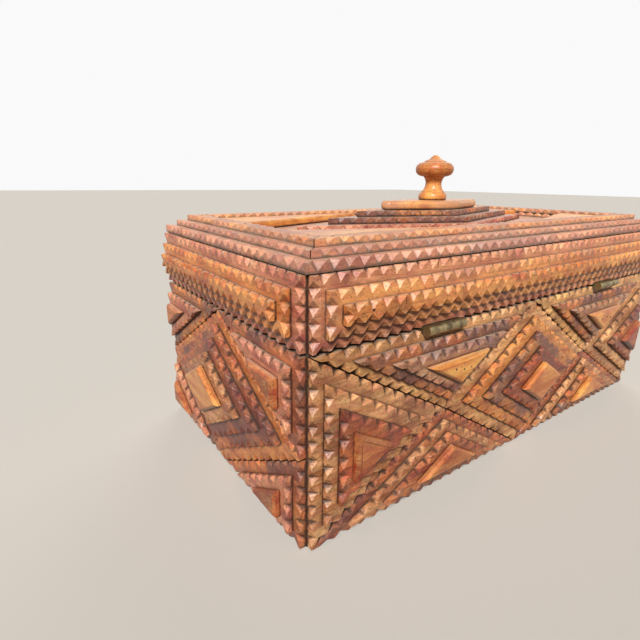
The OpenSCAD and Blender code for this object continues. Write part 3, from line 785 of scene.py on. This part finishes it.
def prisms(mesh):
    # each block's outline carried straight up, so that its edges can be rounded well over
    made = bmesh.new()
    for solid in solidsOf(mesh):
        points = [vert.co.copy() for vert in solid]
        outward, sideways, up = plateAxes(points)
        foot, top = reach(points, outward)
        hull = footHull(points, outward, sideways, up)
        turns = [(hull[k] - hull[k - 1]).angle(hull[(k + 1) % len(hull)] - hull[k]) for k in range(len(hull))]
        ring = [sideways * place.x + up * place.y for place, turn in zip(hull, turns)
                if turn > math.radians(smoothLook["cornerTurn"])]
        low = [made.verts.new(place + outward * foot) for place in ring]
        high = [made.verts.new(place + outward * top) for place in ring]
        made.faces.new(low)
        made.faces.new(high)
        for k in range(len(ring)):
            made.faces.new((low[k - 1], low[k], high[k], high[k - 1]))
    mesh.free()
    bmesh.ops.recalc_face_normals(made, faces=made.faces)
    return made


def bluntCorners(mesh):
    # only the two corners at the plaque's sides, not the turns at its ends
    corners = []
    for edge in mesh.edges:
        a, b = (vert.co for vert in edge.verts)
        if abs(a.x) + abs(b.x) < touch and abs(a.z - b.z) > smoothLook["bluntEdge"]:
            corners.append(edge)
    bmesh.ops.bevel(mesh, geom=corners, offset=smoothLook["blunt"], segments=smoothLook["bluntSteps"],
                    profile=smoothLook["bluntProfile"], affect="EDGES")


def easedPiece(node, width):
    mesh = weldedCopy(node)
    isRounded = node in smoothLook["rounded"]
    if isRounded:
        mesh = prisms(mesh)
    bmesh.ops.dissolve_limit(
        mesh, angle_limit=math.radians(smoothLook["flatAngle"]), verts=mesh.verts, edges=mesh.edges)
    if node == smoothLook["scored"]:
        scoreBorder(mesh)
    if node == "knob_plaque":
        bluntCorners(mesh)
    mesh.verts.index_update()
    chance = random.Random(node)
    outer = max(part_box("back_wall")[1].y, -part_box("front_wall")[0].y) - touch
    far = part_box("right_wall")[1].x - touch
    count = len(mesh.verts)
    columns = {"tone": [0.0] * count, "crest": [smoothLook["crest"]] * count,
               "outward": [Vector()] * count, "grainDir": [Vector()] * count}
    for solid in solidsOf(mesh):
        points = [vert.co.copy() for vert in solid]
        outward, sideways, up = plateAxes(points)
        grain = grainOf(points, outward, sideways, up, chance)
        tone = chance.random() + pieceTone.get(node, 0.0)
        top = reach(points, outward)[1]
        for vert in solid:
            if touch < top - vert.co.dot(outward) < smoothLook["scoreReach"]:
                columns["crest"][vert.index] = smoothLook["scoreCrest"]
            elif node in carcass and (abs(vert.co.x) > far or abs(vert.co.y) > outer):
                columns["crest"][vert.index] = smoothLook["gapShadeCrest"]
            columns["tone"][vert.index] = tone
            columns["outward"][vert.index] = outward
            columns["grainDir"][vert.index] = grain
    made = bpy.data.meshes.new(node + "_eased")
    mesh.to_mesh(made)
    mesh.free()
    setAttributes(made, columns)
    piece = addObject("eased_" + node, made)
    easeEdges(piece, {"width": width, "segments": smoothLook["roundSteps" if isRounded else "steps"]})
    weld = piece.modifiers.new("weld", "WELD")  # the bevel can leave two points in one place
    weld.merge_threshold = samePoint
    settle(baked(piece, finishes[slotOf[node]]), node)


for node in blocks:
    easedPiece(node, smoothLook["rounded"].get(node, smoothLook["block"]))
for node in carcass:
    easedPiece(node, smoothLook["carcass"])
for node in leaves:
    easedPiece(node, smoothLook["metal"])
print("smooth pieces eased:", len(blocks) + len(carcass) + len(leaves))


knobLook = {
    "profile": [  # radius and height above the plaque, in mm
        (0, 0), (7.9, 0), (8.3, 0.4), (8.5, 1.2), (8.5, 2.2), (8.3, 3.1), (7.9, 3.8), (7.3, 4.4), (7.0, 4.6),
        (6.9, 4.9), (6.4, 5.4), (5.8, 6.2), (5.3, 7.2), (4.95, 8.4), (4.8, 9.7), (4.9, 10.8), (5.25, 11.9),
        (5.7, 12.8), (6.1, 13.4), (6.4, 13.7), (7.7, 13.9), (9.2, 14.4), (10.4, 15.2), (11.1, 16.4),
        (11.4, 17.9), (11.2, 19.2), (10.6, 20.3), (9.6, 21.2), (8.3, 21.75), (7.0, 21.9), (6.7, 22.0),
        (6.5, 22.5), (5.7, 22.9), (5.3, 23.0), (4.9, 23.2), (4.0, 23.6), (3.1, 24.2), (2.3, 25.0),
        (1.3, 25.8), (0.5, 26.1), (0, 26.15)],
    "turns": 72,
    "grooves": (4.75, 13.6, 17.9, 19.8, 21.95, 23.0),  # heights of the grooves, where the knob is darker
    "grooveWidth": 0.25,
    "grooveCrest": 0.22,
    "crest": 0.6,
    "head": (13.6, 22.0),
    "headStain": 0.45,
    "tone": 0.35,
    "grain": (0.05, 0.03, 1),  # up the knob, a little out of true
}


def turnedKnob():
    # ring by ring, so that the faces come in the same order on every run
    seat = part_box("knob_plaque")[1].z
    turns = knobLook["turns"]
    places, rings, faces = [], [], []
    for radius, height in knobLook["profile"]:
        ring = []
        for k in range(turns if radius else 1):
            angle = 2 * math.pi * k / turns
            ring.append(len(places))
            places.append((radius * mm * math.cos(angle), radius * mm * math.sin(angle), seat + height * mm))
        rings.append(ring * (turns // len(ring)))
    for low, high in zip(rings, rings[1:]):
        for k in range(turns):
            faces.append(list(dict.fromkeys((low[k - 1], low[k], high[k], high[k - 1]))))  # three at the ends
    made = bpy.data.meshes.new("turned_knob")
    made.from_pydata(places, [], faces)
    made.shade_smooth()
    low, high = knobLook["head"]
    crest, stained = [], []
    for vert in made.vertices:
        height = (vert.co.z - seat) / mm
        inGroove = min(abs(height - groove) for groove in knobLook["grooves"]) < knobLook["grooveWidth"]
        crest.append(knobLook["grooveCrest" if inGroove else "crest"])
        stained.append(knobLook["headStain"] if low < height < high else 0.0)
    count = len(made.vertices)
    setAttributes(made, {
        "tone": [knobLook["tone"] + pieceTone["knob"]] * count, "stained": stained, "crest": crest,
        "outward": [Vector((0, 1, 0))] * count, "grainDir": [Vector(knobLook["grain"])] * count})
    made.materials.append(finishes[slotOf["knob"]])
    settle(addObject("turned_knob", made), "knob")


turnedKnob()
for node in ("hinge_pins", "lower_leaf_screws", "upper_leaf_screws", "knob_screw"):
    for holder in nodes[node].material_slots:
        holder.material = finishes[slotOf[node]]
print("knob turned")

# small brads, three on each solid: close together in a row, or spread out to its ends
bradLook = {
    "radius": 0.55 * mm,
    "height": 0.15 * mm,
    "topShare": 0.7,
    "sides": 12,
    "sizes": (0.75, 1.2),
    "gap": 4.8 * mm,
    "margin": 11 * mm,
    "stray": 0.8 * mm,
    "rows": ["top_triangle_block"],
    "ends": ["long_skirt_layer_3", "end_skirt_layer_3", "upper_frame"],
    "seed": 5,
}


def bradTree():
    inputs = {"Geometry": "Geometry", "Radius": "Float", "Height": "Float",
              "Seed": "Int", "Finish": "Material"}
    tree = newGroup("bradHeads", inputs)
    wire = Wire(tree)
    given = wire.node("NodeGroupInput")
    radius = given.pick("Radius")
    spots = wire.node("GeometryNodeMeshToPoints", {}, {"Mesh": given.pick("Geometry")})
    outward = wire.named("outward", "FLOAT_VECTOR")
    turn = wire.node("FunctionNodeAlignRotationToVector", {"axis": "Z"}, {"Vector": outward})
    size = wire.drawn(*bradLook["sizes"], given.pick("Seed"))
    sockets = {"Vertices": bradLook["sides"], "Radius Top": radius * bradLook["topShare"],
               "Radius Bottom": radius, "Depth": given.pick("Height")}
    head = wire.node("GeometryNodeMeshCone", {}, sockets)
    sockets = {"Points": spots, "Instance": head, "Rotation": turn, "Scale": size}
    endGroup(wire, wire.node("GeometryNodeInstanceOnPoints", {}, sockets), given.pick("Finish"))
    return tree


def bradSpots(node, chance):
    # along the middle of each solid's front face
    mesh = weldedCopy(node)
    spots = []
    for solid in solidsOf(mesh):
        points = [vert.co.copy() for vert in solid]
        outward, sideways, up = plateAxes(points)
        top = reach(points, outward)[1]
        face = [p for p in points if top - p.dot(outward) < touch]
        middle = sum(face, Vector()) / len(face)
        wide, tall = spanOf(face, sideways), spanOf(face, up)
        along = sideways if wide > tall else up
        apart = bradLook["gap"] if node in bradLook["rows"] else max(wide, tall) / 2 - bradLook["margin"]
        for step in (-1, 0, 1):
            off = sideways * chance.uniform(-1, 1) + up * chance.uniform(-1, 1)
            spots.append((middle + along * (apart * step) + off * bradLook["stray"], outward))
    mesh.free()
    return spots


def bradHeads():
    tree = bradTree()
    chance = random.Random(bradLook["seed"])
    for body in ("box", "lid"):
        spots = [spot for node in bradLook["rows"] + bradLook["ends"] if bodyOf[node] == body
                 for spot in bradSpots(node, chance)]
        mesh = bpy.data.meshes.new("brads_" + body)
        mesh.from_pydata([place for place, outward in spots], [], [])
        setAttributes(mesh, {"outward": [outward for place, outward in spots]})
        piece = addObject("brads_" + body, mesh)
        runGroup(piece, tree, {"Radius": bradLook["radius"], "Height": bradLook["height"],
                               "Seed": bradLook["seed"], "Finish": finishes["dull_steel"]})
        baked(piece)
        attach(piece, body)
        print("brads on the", body, len(spots))


bradHeads()

studio = {
    "floor": "#d6cfc5",
    "floorRough": 0.8,
    "floorSize": 12.0,
    "bounce": "#43291a",  # what the floor throws back on the box
    "ambient": 0.05,
    "backdrop": 0.95,
    "aim": (0, 0, 0.07),
    "sky": {"from": (0.64, 0.68, 0.84), "strength": 4.2, "spread": 16.0},
    # lights the sides that the photograph doesn't show
    "front": {"from": (-0.66, -0.72, 0.28), "strength": 1.8, "spread": 50.0},
}


def sun(name):
    look = studio[name]
    light = bpy.data.lights.new(name, "SUN")
    light.energy = look["strength"]
    light.angle = math.radians(look["spread"])
    holder = addObject(name, light)
    holder.location = look["from"]
    holder.rotation_euler = (Vector(studio["aim"]) - Vector(look["from"])).to_track_quat("-Z", "Y").to_euler()
    return holder


def seenBy(wire):
    # 1 where the camera looks, also by a mirror or through glass, and 0 for light on its way to the box
    path = wire.node("ShaderNodeLightPath")
    seen = path.pick("Is Camera Ray") + path.pick("Is Glossy Ray") + path.pick("Is Transmission Ray")
    return seen.clamped()


def setStudio():
    half = studio["floorSize"] / 2
    corners = [(-half, -half, 0), (half, -half, 0), (half, half, 0), (-half, half, 0)]
    mesh = bpy.data.meshes.new("floor")
    mesh.from_pydata(corners, [], [(0, 1, 2, 3)])
    floor = addObject("floor", mesh)
    plain = bpy.data.materials.new("floor")
    wire = clearTree(plain)
    colour = wire.blend(linear(studio["bounce"]), linear(studio["floor"]), seenBy(wire))
    wire.surface({"Base Color": colour, "Roughness": studio["floorRough"], "Specular IOR Level": 0.0})
    mesh.materials.append(plain)
    world = bpy.data.worlds.new("studio")
    bpy.context.scene.world = world
    wire = clearTree(world)
    white = (1, 1, 1, 1)
    pale = (studio["backdrop"],) * 3 + (1,)
    around = wire.node("ShaderNodeBackground", {}, {"Color": white, "Strength": studio["ambient"]})
    shown = wire.node("ShaderNodeBackground", {}, {"Color": pale, "Strength": 1.0})
    mixed = wire.node("ShaderNodeMixShader", {}, {0: seenBy(wire), 1: around, 2: shown})
    wire.node("ShaderNodeOutputWorld", {}, {"Surface": mixed})
    sun("sky")
    sun("front").visible_glossy = False  # no glare on the floor


# camera as the photograph has it
cameraLook = {
    "place": (0.22186, 0.1917, 0.14285),
    "aim": (-0.55458, -0.77567, -0.30128),
    "roll": 0.68,
    "focal": 440.8,  # pixels
    "frame": 640.0,
    "sensor": 36.0,
    "near": 0.01,
}


def setCamera():
    lens = bpy.data.cameras.new("camera")
    lens.sensor_width = cameraLook["sensor"]
    lens.lens = cameraLook["focal"] / cameraLook["frame"] * cameraLook["sensor"]
    lens.clip_start = cameraLook["near"]
    holder = addObject("camera", lens)
    aim = Vector(cameraLook["aim"]).normalized()
    level = aim.cross(Vector((0, 0, 1))).normalized()
    right = Matrix.Rotation(-math.radians(cameraLook["roll"]), 3, aim) @ level
    turn = Matrix((right, right.cross(aim), -aim)).transposed().to_4x4()
    holder.matrix_world = Matrix.Translation(cameraLook["place"]) @ turn
    bpy.context.scene.camera = holder


setStudio()
setCamera()
bpy.context.scene.view_settings.view_transform = "Standard"
print("studio and camera set")
